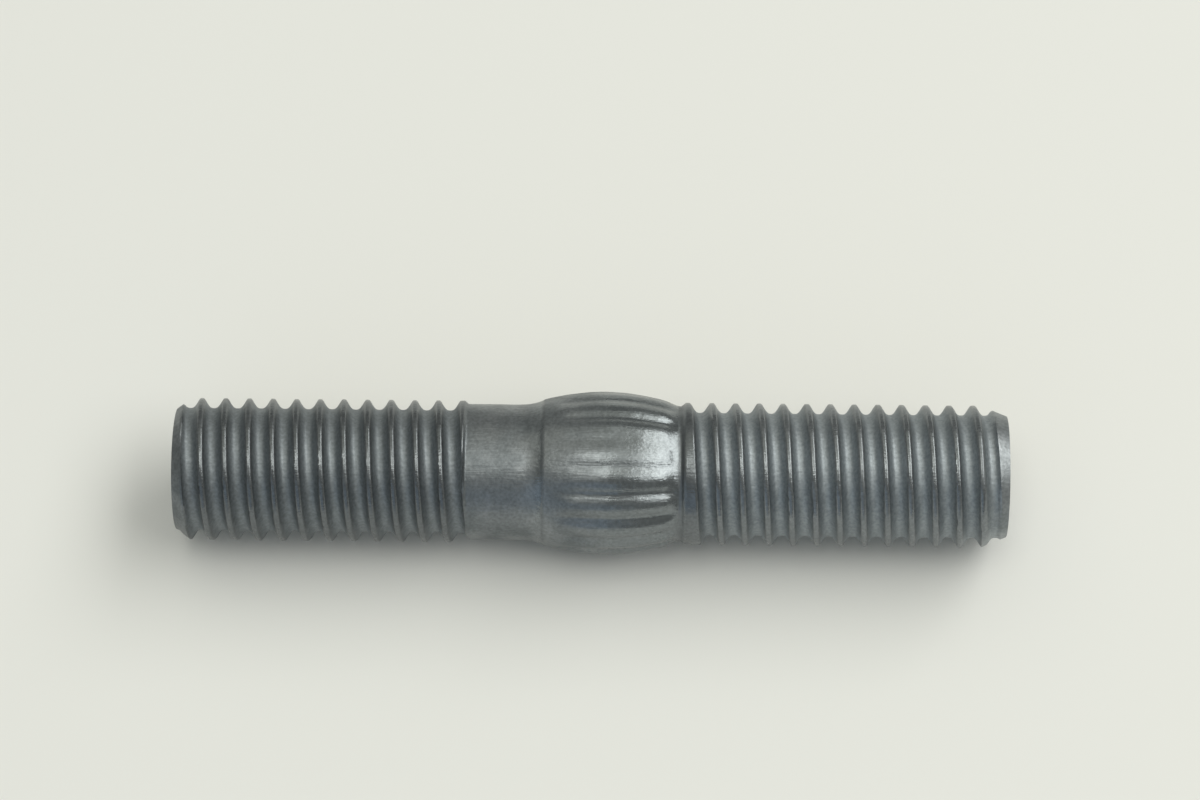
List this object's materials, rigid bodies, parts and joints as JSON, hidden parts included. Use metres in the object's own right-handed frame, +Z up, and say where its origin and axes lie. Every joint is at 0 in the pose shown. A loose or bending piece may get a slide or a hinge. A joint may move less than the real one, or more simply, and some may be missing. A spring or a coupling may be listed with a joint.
{
  "type": "double ended stud",
  "caption": "Headless steel stud with a right-hand thread at each end, a plain neck and a barrel shaped collar with straight serrations.",
  "frame": {"origin": "on the surface that the stud lies on, under the middle of its length", "axes": "+X along the stud's axis towards its long thread, +Z up, away from the surface that it lies on"},
  "size_m": [0.035, 0.0068, 0.0068],
  "materials": {
    "zinc_plated_steel": "zinc plate over rolled steel, dulled by handling"
  },
  "bodies": {
    "root": {"stud": "zinc_plated_steel"}
  },
  "joints": []
}
